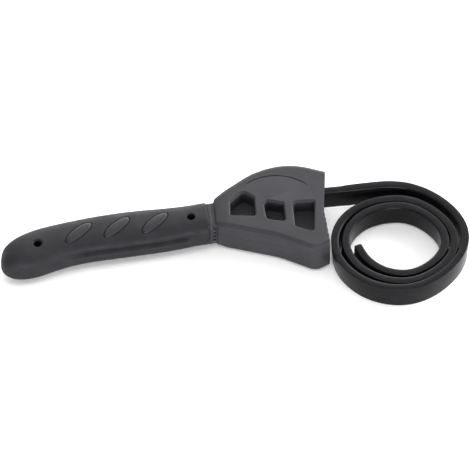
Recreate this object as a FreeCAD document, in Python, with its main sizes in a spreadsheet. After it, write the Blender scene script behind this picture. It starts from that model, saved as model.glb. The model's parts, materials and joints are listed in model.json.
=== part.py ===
"""Oil filter wrench: a moulded handle with a toothed jaw, a rubber grip with oval inlays, and a rubber
strap that turns on a steel pin in the nose of the head. The wrench lies on its flat side, +Z up, with +X
along the strap's way out of the jaw. All sizes are in millimetres."""

import FreeCAD, Part
import math
import os

import Sketcher
from FreeCAD import Placement, Rotation, Vector

doc = FreeCAD.newDocument("oil_filter_wrench")

# ---------------------------------------------------------------- driving dimensions

SIZES = {
    # handle core: head, neck and the tang inside the grip
    "head_thickness": 23.0,
    "edge_round": 2.4,
    "neck_ramp_length": 8.5,
    "neck_ramp_drop": 2.0,
    "web_thickness": 3.0,
    "pocket_rim_chamfer": 0.7,
    "arc_groove_depth": 0.5,
    "arc_groove_radius": 28.3,
    "neck_thickness": 17.0,
    "tang_thickness": 9.0,
    "tooth_pitch": 4.4,
    "tooth_count": 6,
    "tooth_depth": 1.0,
    # grip
    "grip_thickness": 22.0,
    "grip_round": 7.0,
    "hang_hole_radius": 2.5,
    "inlay_length": 21.0,
    "inlay_width": 7.0,
    "inlay_angle": 46.0,
    "inlay_seat_depth": 2.2,
    "inlay_stand_out": 0.5,
    "inlay_round": 0.4,
    # strap and its anchor
    "strap_width": 15.0,
    "strap_thickness": 4.4,
    "strap_lead_angle": 9.8,
    "strap_swing": 20.0,
    "slot_height": 16.0,
    "slot_clearance": 0.4,
    "eye_radius": 3.5,
    "pin_radius": 1.5,
    "pin_length": 20.5,
    "pin_recess": 0.5,
    "pin_chamfer": 0.4,
    "pin_running_fit": 0.05,
    "return_slot_width": 4.8,
    # coil of the free strap: its outer turn, and how much its right half is flattened on the diagonals
    "coil_radius": 40.3,
    "coil_flattening": 0.045,
}

sheet = doc.addObject("Spreadsheet::Sheet", "Sizes")
for row, (alias, value) in enumerate(SIZES.items(), start=1):
    sheet.set(f"A{row}", alias.replace("_", " "))
    sheet.set(f"B{row}", str(value))
    sheet.setAlias(f"B{row}", alias)
doc.recompute()


def size(alias):
    """The value that the sheet holds for a driving dimension."""
    return float(sheet.get(alias))


# Corners of the outlines, each as (x, y, corner radius), with the jaw's inner corner at x = -1.5, y = 0.
JAW_INNER_CORNER = (-1.5, 0.0)
JAW_NEAR_CORNER = (2.4, -28.0)
HEAD_OUTLINE = [
    (-68.3, 6.8, 3.5),
    (-44.0, 28.0, 45.0),
    (-22.0, 35.9, 40.0),
    (-0.3, 28.7, 0.0),
    (*JAW_INNER_CORNER, 3.0),
    (*JAW_NEAR_CORNER, 0.0),
    (-6.0, -32.7, 8.0),
    (-28.0, -22.3, 60.0),
    (-66.8, -12.6, 4.0),
]
POCKET_OUTLINES = [
    [(-57.9, 4.3, 2.0), (-50.0, 13.0, 2.5), (-43.2, 8.0, 2.0), (-42.3, -6.5, 1.2), (-57.8, -6.1, 1.2)],
    [(-37.3, 2.6, 1.5), (-35.2, 5.6, 1.5), (-25.3, 3.4, 1.5), (-24.0, -10.8, 1.6), (-35.6, -9.0, 2.2)],
    [(-19.6, 2.4, 1.5), (-17.6, 4.8, 1.5), (-6.3, 5.2, 1.2), (-6.8, -19.2, 1.8), (-18.2, -14.6, 1.8)],
]
GRIP_OUTLINE = [
    (-73.2, 7.4, 0.0),
    (-88.0, 4.2, 60.0),
    (-122.0, 0.2, 200.0),
    (-187.5, -15.8, 20.0),
    (-207.2, -45.8, 11.0),
    (-172.0, -40.4, 40.0),
    (-150.0, -31.0, 100.0),
    (-86.0, -19.3, 60.0),
    (-69.6, -14.6, 0.0),
]
TANG_OUTLINE = [
    (-66.0, 4.6, 0.0),
    (-101.0, -2.4, 60.0),
    (-150.5, -11.4, 60.0),
    (-183.0, -21.4, 4.0),
    (-186.4, -34.4, 4.0),
    (-152.0, -25.8, 60.0),
    (-102.5, -16.8, 60.0),
    (-66.0, -9.4, 0.0),
]
NECK_OUTLINE = [(-64.0, 6.6, 0.0), (-74.6, 4.6, 0.0), (-71.2, -13.0, 0.0), (-64.0, -11.6, 0.0)]
RETURN_SLOT_BEND = (-17.4, 8.9, 6.0)
HANG_HOLES = [(-175.0, -28.2), (-81.7, -6.8)]
INLAY_CENTRES = [(-150.0, -18.4), (-126.9, -14.0), (-103.7, -10.4)]
ARC_GROOVE = {"centre": (-29.8, -3.2), "from": 49.0, "to": 129.0, "width": 0.8}
PIN_CENTRE = (-7.9, 15.9)

# The coil: circles that the three turns follow, as (centre x, centre y, radius) from the coil's centre, and
# the polar angles between which the strap passes from one circle to the next. It winds clockwise.
COIL_TURNS = [(0.0, 0.0, size("coil_radius")), (0.4, -2.7, 32.4), (0.4, -2.4, 26.9)]
COIL_CHANGES = [(-158.0, -262.0), (-518.0, -622.0)]
COIL_END_ANGLE = -880.0
COIL_ARC_STEP = 30.0
LEAD_LENGTH = 47.0
RUN_START = 13.0

MID_HEIGHT = size("head_thickness") / 2
LEAD_ANGLE = size("strap_lead_angle")

# Cutting sketches reach this far past the solid, and the head fits between planes at this distance.
OVERCUT = 1.0
HEAD_REACH = 60.0


# ---------------------------------------------------------------- drawing helpers


def rounded_outline(corners):
    """Lines and tangent arcs of a closed outline whose corners are (x, y, corner radius)."""
    points = [Vector(x, y, 0) for x, y, radius in corners]
    entries = []
    for k, point in enumerate(points):
        to_last = (points[k - 1] - point).normalize()
        to_next = (points[(k + 1) % len(points)] - point).normalize()
        half = to_last.getAngle(to_next) / 2
        reach = corners[k][2] / math.tan(half)
        middle = (to_last + to_next).normalize()
        depth = corners[k][2] / math.sin(half) - corners[k][2]
        entries.append((point + to_last * reach, point + middle * depth, point + to_next * reach))
    shapes = []
    for k, (start, middle, end) in enumerate(entries):
        if corners[k][2] > 0:
            shapes.append(Part.Arc(start, middle, end))
        following = entries[(k + 1) % len(entries)][0]
        shapes.append(Part.LineSegment(end, following))
    return shapes


def rotated(x, y, degrees):
    """The point (x, y) turned about the origin."""
    turned = Rotation(Vector(0, 0, 1), degrees).multVec(Vector(x, y, 0))
    return turned.x, turned.y


def new_body(label):
    body = doc.addObject("PartDesign::Body", label)
    body.Label = label
    return body


def origin_plane(body, role):
    return next(feature for feature in body.Origin.OriginFeatures if feature.Role == role)


def new_sketch(body, name, shapes=(), height=None, role="XY_Plane"):
    """A sketch on one of the body's origin planes, lifted by the expression height."""
    sketch = body.newObject("Sketcher::SketchObject", name)
    sketch.AttachmentSupport = [(origin_plane(body, role), "")]
    sketch.MapMode = "FlatFace"
    if height:
        sketch.setExpression(".AttachmentOffset.Base.z", height)
    for shape in shapes:
        sketch.addGeometry(shape, False)
    return sketch


def round_hole_sketch(body, name, centres, radius, height=None):
    """Circles that take their radius from the sheet."""
    sketch = new_sketch(body, name, height=height)
    for x, y in centres:
        circle = sketch.addGeometry(Part.Circle(Vector(x, y, 0), Vector(0, 0, 1), 1.0), False)
        constraint = sketch.addConstraint(Sketcher.Constraint("Radius", circle, 1.0))
        sketch.setExpression(f"Constraints[{constraint}]", radius)
    return sketch


def pad(body, sketch, name, length):
    """Material above the sketch, as high as the expression length."""
    feature = body.newObject("PartDesign::Pad", name)
    feature.Profile = sketch
    feature.setExpression("Length", length)
    doc.recompute()
    return feature


def pocket(body, sketch, name, length):
    """A cut below the sketch, as deep as the expression length. It stops the build if it cuts nothing."""
    before = body.Shape.Volume
    feature = body.newObject("PartDesign::Pocket", name)
    feature.Profile = sketch
    feature.setExpression("Length", length)
    doc.recompute()
    if feature.Shape.isNull():
        raise RuntimeError(f"{body.Label}: {name} has failed")
    if not feature.Shape.Volume < before - 0.5:
        raise RuntimeError(f"{body.Label}: {name} cuts nothing")
    return feature


def edges_where(shape, test):
    """Names of the shape's edges that pass the test."""
    return [f"Edge{k}" for k, edge in enumerate(shape.Edges, start=1) if test(edge)]


def dress(body, kind, name, edges, prop, value):
    """A fillet or a chamfer on the named edges of the body's last feature."""
    base = body.Tip
    feature = body.newObject(f"PartDesign::{kind}", name)
    feature.Base = (base, edges)
    feature.setExpression(prop, value)
    doc.recompute()
    return feature


def at_height(edge, height):
    box = edge.BoundBox
    return abs(box.ZMin - height) < 1e-4 and abs(box.ZMax - height) < 1e-4


# ---------------------------------------------------------------- handle core


def jaw_edge(edge):
    """True for the edges along the jaw's two faces and the arc between them."""
    middle = edge.CenterOfMass
    return middle.x > JAW_INNER_CORNER[0] - OVERCUT and JAW_NEAR_CORNER[1] < middle.y


def ramp_start_edge(edge):
    """True for the straight edge across a flat face where its ramp begins."""
    box = edge.BoundBox
    start = HEAD_OUTLINE[0][0] + size("neck_ramp_length")
    return box.XLength < 1e-3 and abs(box.XMin - start) < 1e-3


def flat_side_edge(edge):
    """True for the edges around the head's two flat sides and their ramps, except at the jaw."""
    box = edge.BoundBox
    ramp = size("neck_ramp_drop") + 0.1
    beside_flat_side = box.ZMax < ramp or box.ZMin > size("head_thickness") - ramp
    return beside_flat_side and not jaw_edge(edge) and not ramp_start_edge(edge)


def cut_neck_ramps(body):
    """Both flat faces of the head slope towards the neck."""
    thickness = size("head_thickness")
    start = HEAD_OUTLINE[0][0] + size("neck_ramp_length")
    run = 2 * size("neck_ramp_length")
    drop = 2 * size("neck_ramp_drop")
    for name, face, outward in (("TopRamp", thickness, 1), ("BottomRamp", 0.0, -1)):
        corners = [
            Vector(start, face, 0),
            Vector(start - run, face - outward * drop, 0),
            Vector(start - run, face + outward * OVERCUT, 0),
            Vector(start, face + outward * OVERCUT, 0),
        ]
        lines = [Part.LineSegment(corners[k], corners[(k + 1) % 4]) for k in range(4)]
        sketch = new_sketch(body, f"{name}Sketch", lines, role="XZ_Plane")
        sketch.AttachmentOffset = Placement(Vector(0, 0, HEAD_REACH), Rotation())
        pocket(body, sketch, name, str(2 * HEAD_REACH))


def cut_windows(body):
    """Three blind pockets in each flat face, down to the web in the middle of the head."""
    depth = "(Sizes.head_thickness - Sizes.web_thickness) / 2"
    shapes = [shape for outline in POCKET_OUTLINES for shape in rounded_outline(outline)]
    upper = new_sketch(body, "UpperWindowsSketch", shapes, height="Sizes.head_thickness")
    pocket(body, upper, "UpperWindows", depth)
    lower = new_sketch(body, "LowerWindowsSketch", shapes, height=depth)
    pocket(body, lower, "LowerWindows", depth)


def window_rim(edge):
    """True for the mouth edges of the blind pockets, in either flat face."""
    if not (at_height(edge, 0.0) or at_height(edge, size("head_thickness"))):
        return False
    centre = edge.CenterOfMass
    for outline in POCKET_OUTLINES:
        xs = [corner[0] for corner in outline]
        ys = [corner[1] for corner in outline]
        inside_x = min(xs) - 0.1 < centre.x < max(xs) + 0.1
        if inside_x and min(ys) - 0.1 < centre.y < max(ys) + 0.1:
            return True
    return False


def cut_arc_groove(body):
    """A shallow decorative groove above the windows, on the upper face."""
    x, y = ARC_GROOVE["centre"]
    half = ARC_GROOVE["width"] / 2
    radius = size("arc_groove_radius")
    angles = [math.radians(ARC_GROOVE[key]) for key in ("from", "to")]
    middle = sum(angles) / 2

    def on_arc(distance, angle):
        return Vector(x + distance * math.cos(angle), y + distance * math.sin(angle), 0)

    def end_cap(angle, direction):
        tip = on_arc(radius, angle + direction * half / radius)
        return Part.Arc(on_arc(radius - half, angle), tip, on_arc(radius + half, angle))

    shapes = [
        Part.Arc(*(on_arc(radius + half, a) for a in (angles[0], middle, angles[1]))),
        end_cap(angles[1], 1),
        Part.Arc(*(on_arc(radius - half, a) for a in (angles[0], middle, angles[1]))),
        end_cap(angles[0], -1),
    ]
    sketch = new_sketch(body, "ArcGrooveSketch", shapes, height="Sizes.head_thickness")
    pocket(body, sketch, "ArcGroove", "Sizes.arc_groove_depth")


def cut_teeth(body):
    """V grooves along the near half of the jaw, across its whole thickness."""
    pitch, depth = size("tooth_pitch"), size("tooth_depth")
    start, end = Vector(*JAW_INNER_CORNER, 0), Vector(*JAW_NEAR_CORNER, 0)
    along = end - start
    angle = math.degrees(math.atan2(along.y, along.x))
    first = (along.Length - pitch * (size("tooth_count") - 1)) / 2
    corners = [
        Vector(first - pitch / 2, OVERCUT, 0),
        Vector(first, -depth, 0),
        Vector(first + pitch / 2, OVERCUT, 0),
    ]
    lines = [Part.LineSegment(corners[k], corners[(k + 1) % 3]) for k in range(3)]
    sketch = new_sketch(body, "ToothSketch", lines)
    top = Vector(start.x, start.y, size("head_thickness") + OVERCUT)
    sketch.AttachmentOffset = Placement(top, Rotation(Vector(0, 0, 1), angle))
    groove = pocket(body, sketch, "Tooth", f"Sizes.head_thickness + {2 * OVERCUT}")
    teeth = body.newObject("PartDesign::LinearPattern", "Teeth")
    teeth.Originals = [groove]
    teeth.Direction = (sketch, ["H_Axis"])
    teeth.setExpression("Length", "Sizes.tooth_pitch * (Sizes.tooth_count - 1)")
    teeth.setExpression("Occurrences", "Sizes.tooth_count")
    body.Tip = teeth
    doc.recompute()


def cut_strap_slot(body):
    """The round seat of the strap's eye, and its mouth, which flares as far as the strap swings."""
    slot_top = "(Sizes.head_thickness + Sizes.slot_height) / 2"
    seat_radius = "Sizes.eye_radius + Sizes.slot_clearance"
    seat = round_hole_sketch(body, "EyeSeatSketch", [PIN_CENTRE], seat_radius, slot_top)
    pocket(body, seat, "EyeSeat", "Sizes.slot_height")
    half = size("strap_thickness") / 2 + size("slot_clearance")
    reach = RUN_START
    lower, upper = LEAD_ANGLE, LEAD_ANGLE + size("strap_swing")
    around_pin = [
        rotated(0, -half, lower),
        rotated(reach, -half, lower),
        rotated(reach, half, upper),
        rotated(0, half, upper),
    ]
    corners = [Vector(PIN_CENTRE[0] + x, PIN_CENTRE[1] + y, 0) for x, y in around_pin]
    lines = [Part.LineSegment(corners[k], corners[(k + 1) % 4]) for k in range(4)]
    mouth = new_sketch(body, "StrapMouthSketch", lines, height=slot_top)
    pocket(body, mouth, "StrapMouth", "Sizes.slot_height")


def cut_return_slot(body):
    """The slot that the strap's free end goes back through, from the jaw to the far edge of the head."""
    half = size("return_slot_width") / 2
    x, y, radius = RETURN_SLOT_BEND
    corners = [
        (RUN_START, y - half, 0.0),
        (x - half, y - half, radius + half),
        (x - half, HEAD_REACH, 0.0),
        (x + half, HEAD_REACH, 0.0),
        (x + half, y + half, radius - half),
        (RUN_START, y + half, 0.0),
    ]
    slot_top = "(Sizes.head_thickness + Sizes.slot_height) / 2"
    sketch = new_sketch(body, "ReturnSlotSketch", rounded_outline(corners), height=slot_top)
    pocket(body, sketch, "ReturnSlot", "Sizes.slot_height")


def make_handle_core():
    body = new_body("handle_core")
    outline = new_sketch(body, "HeadSketch", rounded_outline(HEAD_OUTLINE))
    pad(body, outline, "Head", "Sizes.head_thickness")
    cut_neck_ramps(body)
    edges = edges_where(body.Shape, flat_side_edge)
    dress(body, "Fillet", "EdgeRound", edges, "Radius", "Sizes.edge_round")
    cut_windows(body)
    rims = edges_where(body.Shape, window_rim)
    dress(body, "Chamfer", "WindowRims", rims, "Size", "Sizes.pocket_rim_chamfer")
    cut_arc_groove(body)
    cut_teeth(body)
    cut_strap_slot(body)
    cut_return_slot(body)
    pin_top = "Sizes.pin_recess + Sizes.pin_length"
    pin_hole = round_hole_sketch(body, "PinHoleSketch", [PIN_CENTRE], "Sizes.pin_radius", pin_top)
    pocket(body, pin_hole, "PinHole", pin_top)
    neck_base = "(Sizes.head_thickness - Sizes.neck_thickness) / 2"
    neck = new_sketch(body, "NeckSketch", rounded_outline(NECK_OUTLINE), height=neck_base)
    pad(body, neck, "Neck", "Sizes.neck_thickness")
    tang_base = "(Sizes.head_thickness - Sizes.tang_thickness) / 2"
    tang = new_sketch(body, "TangSketch", rounded_outline(TANG_OUTLINE), height=tang_base)
    pad(body, tang, "Tang", "Sizes.tang_thickness")
    holes = round_hole_sketch(
        body, "HangHolesSketch", HANG_HOLES, "Sizes.hang_hole_radius", "Sizes.head_thickness"
    )
    pocket(body, holes, "HangHoles", "Sizes.head_thickness")
    return body


# ---------------------------------------------------------------- grip and inlays


def inlay_ellipse(centre):
    """One oval, its long axis turned from the X axis by the inlay angle."""
    ellipse = Part.Ellipse(Vector(0, 0, 0), size("inlay_length") / 2, size("inlay_width") / 2)
    turn = Placement(Vector(*centre, 0), Rotation(Vector(0, 0, 1), size("inlay_angle")))
    ellipse.transform(turn.toMatrix())
    return ellipse


GRIP_BASE = "(Sizes.head_thickness - Sizes.grip_thickness) / 2"
GRIP_TOP = "(Sizes.head_thickness + Sizes.grip_thickness) / 2"


def long_grip_edge(edge):
    """True for the edges along the grip's two faces, except across its end at the neck."""
    half = size("grip_thickness") / 2
    on_face = at_height(edge, MID_HEIGHT - half) or at_height(edge, MID_HEIGHT + half)
    first, last = GRIP_OUTLINE[0], GRIP_OUTLINE[-1]
    neck_end = Vector((first[0] + last[0]) / 2, (first[1] + last[1]) / 2, edge.CenterOfMass.z)
    return on_face and edge.CenterOfMass.distanceToPoint(neck_end) > 1.0


def make_grip_sleeve():
    body = new_body("grip_sleeve")
    outline = new_sketch(body, "GripSketch", rounded_outline(GRIP_OUTLINE), height=GRIP_BASE)
    pad(body, outline, "Grip", "Sizes.grip_thickness")
    edges = edges_where(body.Shape, long_grip_edge)
    dress(body, "Fillet", "GripRound", edges, "Radius", "Sizes.grip_round")
    ovals = [inlay_ellipse(centre) for centre in INLAY_CENTRES]
    upper = new_sketch(body, "UpperSeatsSketch", ovals, height=GRIP_TOP)
    pocket(body, upper, "UpperSeats", "Sizes.inlay_seat_depth")
    lower = new_sketch(body, "LowerSeatsSketch", ovals, height=f"{GRIP_BASE} + Sizes.inlay_seat_depth")
    pocket(body, lower, "LowerSeats", "Sizes.inlay_seat_depth")
    tang_top = "(Sizes.head_thickness + Sizes.tang_thickness) / 2"
    tang = new_sketch(body, "TangSeatSketch", rounded_outline(TANG_OUTLINE), height=tang_top)
    pocket(body, tang, "TangSeat", "Sizes.tang_thickness")
    neck_top = "(Sizes.head_thickness + Sizes.neck_thickness) / 2"
    neck = new_sketch(body, "NeckSeatSketch", rounded_outline(NECK_OUTLINE), height=neck_top)
    pocket(body, neck, "NeckSeat", "Sizes.neck_thickness")
    holes = round_hole_sketch(
        body, "HangHolesSketch", HANG_HOLES, "Sizes.hang_hole_radius", "Sizes.head_thickness"
    )
    pocket(body, holes, "HangHoles", "Sizes.head_thickness")
    return body


def make_inlay(label, centre, upper):
    """One hard oval, seated in the grip's face and standing a little proud of it."""
    body = new_body(label)
    depth = "Sizes.inlay_seat_depth + Sizes.inlay_stand_out"
    base = f"{GRIP_TOP} - Sizes.inlay_seat_depth" if upper else f"{GRIP_BASE} - Sizes.inlay_stand_out"
    sketch = new_sketch(body, "OvalSketch", [inlay_ellipse(centre)], height=base)
    pad(body, sketch, "Oval", depth)
    box = body.Shape.BoundBox
    outer = box.ZMax if upper else box.ZMin
    rim = edges_where(body.Shape, lambda edge: at_height(edge, outer))
    dress(body, "Fillet", "OvalRound", rim, "Radius", "Sizes.inlay_round")
    return body


def make_inlays():
    inlays = []
    for side, upper in (("upper", True), ("lower", False)):
        for number, centre in enumerate(INLAY_CENTRES, start=1):
            inlays.append(make_inlay(f"grip_inlay_{side}_{number}", centre, upper))
    return inlays


# ---------------------------------------------------------------- strap and its pin


def make_anchor_pin():
    """The steel cross pin, pressed into the nose from below."""
    body = new_body("anchor_pin")
    sketch = round_hole_sketch(body, "PinSketch", [PIN_CENTRE], "Sizes.pin_radius", "Sizes.pin_recess")
    pad(body, sketch, "Pin", "Sizes.pin_length")
    rims = edges_where(body.Shape, lambda edge: isinstance(edge.Curve, Part.Circle))
    dress(body, "Chamfer", "PinEnds", rims, "Size", "Sizes.pin_chamfer")
    return body


def make_strap_eye():
    """The strap's moulded eye around the pin, with the short stretch that fills the slot's mouth."""
    body = new_body("strap_eye")
    strap_base = "(Sizes.head_thickness - Sizes.strap_width) / 2"
    strap_top = "(Sizes.head_thickness + Sizes.strap_width) / 2"
    eye = round_hole_sketch(body, "EyeSketch", [PIN_CENTRE], "Sizes.eye_radius", strap_base)
    pad(body, eye, "Eye", "Sizes.strap_width")
    half = size("strap_thickness") / 2
    around_pin = [(0, -half), (RUN_START, -half), (RUN_START, half), (0, half)]
    corners = []
    for x, y in around_pin:
        along, across = rotated(x, y, LEAD_ANGLE)
        corners.append(Vector(PIN_CENTRE[0] + along, PIN_CENTRE[1] + across, 0))
    lines = [Part.LineSegment(corners[k], corners[(k + 1) % 4]) for k in range(4)]
    stub = new_sketch(body, "StubSketch", lines, height=strap_base)
    pad(body, stub, "Stub", "Sizes.strap_width")
    bore = round_hole_sketch(
        body, "BoreSketch", [PIN_CENTRE], "Sizes.pin_radius + Sizes.pin_running_fit", strap_top
    )
    pocket(body, bore, "Bore", "Sizes.strap_width")
    return body


def along_lead(distance):
    """The point of the strap's middle line that far from the pin, in plan."""
    x, y = rotated(distance, 0, LEAD_ANGLE)
    return Vector(PIN_CENTRE[0] + x, PIN_CENTRE[1] + y, 0)


def coil_centre():
    """The strap's straight lead ends where it touches the outer turn's circle."""
    x, y = rotated(0, -size("coil_radius"), LEAD_ANGLE)
    return along_lead(LEAD_LENGTH) + Vector(x, y, 0)


def eased(value):
    value = min(max(value, 0.0), 1.0)
    return value * value * (3 - 2 * value)


def coil_point(angle):
    """A point of the coil's middle line at a polar angle in degrees, which falls as the strap winds in."""
    x, y, radius = COIL_TURNS[0]
    for (start, end), turn, last in zip(COIL_CHANGES, COIL_TURNS[1:], COIL_TURNS):
        share = eased((angle - start) / (end - start))
        x += share * (turn[0] - last[0])
        y += share * (turn[1] - last[1])
        radius += share * (turn[2] - last[2])
    turned = math.radians(angle)
    if math.cos(turned) > 0:
        radius *= 1 - size("coil_flattening") * math.sin(2 * turned) ** 2
    return coil_centre() + Vector(x + radius * math.cos(turned), y + radius * math.sin(turned), 0)


def coil_face_point(angle, side):
    """A point of the strap's outer face (side 1) or inner face (side -1) beside the middle line."""
    ahead = coil_point(angle - 1.0) - coil_point(angle + 1.0)
    outward = Vector(-ahead.y, ahead.x, 0).normalize()
    return coil_point(angle) + outward * (side * size("strap_thickness") / 2)


def coil_face_arcs(angles, side):
    """One face of the coiled strap: an arc over every two steps of the list of angles."""
    arcs = []
    for k in range(0, len(angles) - 2, 2):
        three = [coil_face_point(angle, side) for angle in angles[k : k + 3]]
        arcs.append(Part.Arc(*three).toShape())
    return arcs


def make_strap_run():
    """The free stretch, on edge, which comes down from the slot's height to the ground."""
    width, thickness = size("strap_width"), size("strap_thickness")
    slot_level = MID_HEIGHT - width / 2
    profile = [
        Vector(RUN_START, 0, slot_level),
        Vector(LEAD_LENGTH, 0, 0),
        Vector(LEAD_LENGTH, 0, width),
        Vector(RUN_START, 0, slot_level + width),
    ]
    face = Part.Face(Part.makePolygon(profile + profile[:1]))
    face.translate(Vector(0, -thickness / 2, 0))
    run = doc.addObject("Part::Feature", "strap_run")
    run.Label = "strap_run"
    run.Shape = face.extrude(Vector(0, thickness, 0))
    run.Placement = Placement(Vector(*PIN_CENTRE, 0), Rotation(Vector(0, 0, 1), LEAD_ANGLE))
    return run


def make_strap_coil():
    """The wound strap, on edge on the ground, with its rounded free end inside."""
    start = 90 + LEAD_ANGLE
    steps = 2 * math.ceil((start - COIL_END_ANGLE) / COIL_ARC_STEP)
    angles = [start + (COIL_END_ANGLE - start) * k / steps for k in range(steps + 1)]
    outer = coil_face_arcs(angles, 1)
    inner = coil_face_arcs(angles, -1)
    tip_outer, tip_inner = coil_face_point(angles[-1], 1), coil_face_point(angles[-1], -1)
    ahead = (coil_point(angles[-1]) - coil_point(angles[-1] + 1.0)).normalize()
    tip = coil_point(angles[-1]) + ahead * (size("strap_thickness") / 2)
    tip_cap = Part.Arc(tip_outer, tip, tip_inner).toShape()
    root = Part.LineSegment(coil_face_point(angles[0], 1), coil_face_point(angles[0], -1)).toShape()
    wire = Part.Wire(outer + [tip_cap] + inner[::-1] + [root])
    coil = doc.addObject("Part::Feature", "strap_coil")
    coil.Label = "strap_coil"
    coil.Shape = Part.Face(wire).extrude(Vector(0, 0, size("strap_width")))
    length = sum(coil_point(a).distanceToPoint(coil_point(b)) for a, b in zip(angles, angles[1:]))
    print(f"strap: {LEAD_LENGTH:.1f} mm lead and {length:.1f} mm in the coil")
    tightest = min(arc.Curve.Radius for arc in inner)
    print(f"tightest radius of the coil's inner face: {tightest:.1f} mm")
    return coil


# ---------------------------------------------------------------- assembly


def check(pieces):
    """Stops the build if a feature has failed or a piece has no whole shape."""
    for item in doc.Objects:
        if "Invalid" in item.State or "Error" in item.State:
            raise RuntimeError(f"{item.Name} has failed: {item.State}")
    for piece in pieces:
        if piece.Shape.isNull() or not piece.Shape.isValid():
            raise RuntimeError(f"{piece.Label} has no valid shape")
        if len(piece.Shape.Solids) != 1:
            raise RuntimeError(f"{piece.Label} has {len(piece.Shape.Solids)} solids")


wrench = [make_handle_core(), make_grip_sleeve(), *make_inlays(), make_anchor_pin()]
strap = [make_strap_eye(), make_strap_run(), make_strap_coil()]
doc.recompute()
check(wrench + strap)

# The origin is on the ground, under the middle of the wrench without its strap.
bounds = FreeCAD.BoundBox()
for piece in wrench:
    bounds.add(piece.Shape.optimalBoundingBox(False))
shift = Vector(-bounds.Center.x, -bounds.Center.y, -bounds.ZMin)
for piece in wrench + strap:
    piece.Placement = Placement(shift, Rotation()).multiply(piece.Placement)
doc.recompute()

os.makedirs("parts", exist_ok=True)
for piece in wrench + strap:
    piece.Shape.exportStep(f"parts/{piece.Label}.step")
    box = piece.Shape.BoundBox
    print(f"{piece.Label}: {box.XLength:.1f} x {box.YLength:.1f} x {box.ZLength:.1f}, {piece.Shape.Volume:.0f} mm3")
print(f"pin axis at x = {PIN_CENTRE[0] + shift.x:.4f}, y = {PIN_CENTRE[1] + shift.y:.4f}")
for hole_x, hole_y in HANG_HOLES:
    print(f"hang hole at x = {hole_x + shift.x:.4f}, y = {hole_y + shift.y:.4f}")
print(f"datum moved by x = {shift.x:.4f}, y = {shift.y:.4f}, z = {shift.z:.4f}")
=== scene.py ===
"""Looks of the strap wrench: studio, strap, handle moulding, rubber grip, oval inlays and pin, made around
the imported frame. Lengths are in metres and angles in radians unless a comment says otherwise."""

import json
import math

import bmesh
import bpy
from bpy.props import FloatProperty, FloatVectorProperty, IntProperty, PointerProperty
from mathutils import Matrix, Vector


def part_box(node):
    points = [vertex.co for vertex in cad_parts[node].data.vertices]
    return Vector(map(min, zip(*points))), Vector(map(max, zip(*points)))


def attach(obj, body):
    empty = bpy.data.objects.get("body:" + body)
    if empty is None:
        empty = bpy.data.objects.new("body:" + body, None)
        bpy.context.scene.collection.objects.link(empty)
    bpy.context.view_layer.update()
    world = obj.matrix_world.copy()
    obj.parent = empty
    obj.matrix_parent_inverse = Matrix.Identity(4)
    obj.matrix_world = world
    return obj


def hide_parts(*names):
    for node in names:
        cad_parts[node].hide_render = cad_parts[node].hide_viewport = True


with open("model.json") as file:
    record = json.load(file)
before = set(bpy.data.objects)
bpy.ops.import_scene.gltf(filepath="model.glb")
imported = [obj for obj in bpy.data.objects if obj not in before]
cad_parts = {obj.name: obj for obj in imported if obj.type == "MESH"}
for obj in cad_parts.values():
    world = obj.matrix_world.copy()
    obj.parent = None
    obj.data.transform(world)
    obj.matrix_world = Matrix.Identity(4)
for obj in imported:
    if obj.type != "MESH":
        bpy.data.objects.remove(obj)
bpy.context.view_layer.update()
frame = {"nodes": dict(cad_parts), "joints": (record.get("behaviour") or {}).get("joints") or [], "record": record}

bl_info = {
    "name": "Strap Wrench",
    "version": (1, 0, 0),
    "blender": (4, 5, 0),
    "location": "View3D > Sidebar > Strap Wrench",
    "description": "Builds the looks of a rubber strap wrench around its packed frame",
    "category": "Object",
}

MM = 0.001
# The height of the wrench's middle plane, above which it is the same as below.
MID_HEIGHT = 0.0115
PIN = Vector(frame["joints"][0]["pos_m"])

# The strap's straight lead, as (distance from the pin, height of the middle line), and its length.
LEAD_POINTS = [(0.0030, 0.0114), (0.0090, 0.0112), (0.0170, 0.0106), (0.0290, 0.0105), (0.0380, 0.0102)]
LEAD_LENGTH = 0.047
# The coil: circles that the strap follows one after another, as (centre x, centre y, radius) from the coil's
# centre, and the polar angles in degrees between which it passes from one circle to the next. It winds
# clockwise, and the last circle is only for the free end.
COIL_TURNS = [
    (-0.0001, -0.0004, 0.0403),
    (0.0002, -0.0028, 0.0321),
    (0.0002, -0.0025, 0.0265),
    (0.0008, -0.0014, 0.0262),
]
COIL_CHANGES = [(-150.0, -262.0), (-518.0, -622.0), (-780.0, -880.0)]
COIL_END_ANGLE = -887.0
COIL_STEP = 15.0
# Heights of the middle line: the coil's first points, of which the last stands for all that follow, and the
# points at the free end.
COIL_HEIGHTS = [0.0096, 0.0083, 0.0075]
TIP_HEIGHTS = [0.0077, 0.0081, 0.0086]
# The inner turns are slightly oval: longer by this factor along a line at this polar angle.
COIL_STRETCH = 1.05
COIL_STRETCH_ANGLE = math.radians(-30)

# How the strap leans along its length, as pairs of a distance and a slope: the outer turn's foot leans in
# and the next turn's foot leans out, so they nearly meet.
STRAP_LEANS = [(0.05, 0.0), (0.09, 0.065), (0.27, 0.065), (0.34, -0.045), (0.47, -0.045), (0.52, 0.0)]

# The moulded root steps up to the belt over this length, and the free end's edges have this radius.
ROOT_STEP = 0.0016
END_ROUND = 0.0007
# The moulded eye: its outer and inner radius, the ring left round its ends' inset, and its edges' rounding.
EYE_OUTER = 0.00345
EYE_BORE = 0.00156
EYE_FLAT = 0.0004
EYE_EDGE = 0.00035

# The softboxes: name, place, size and power.
SOFTBOXES = [
    ("softbox_above", (0.1, -0.15, 1.2), 0.6, 5.0),
    ("softbox_behind", (0.2, 1.2, 0.3), 1.1, 17.0),
    ("softbox_right", (1.05, 0.45, 0.34), 0.9, 22.0),
    ("softbox_front", (0.3, -1.3, 0.12), 0.7, 27.0),
]
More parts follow.
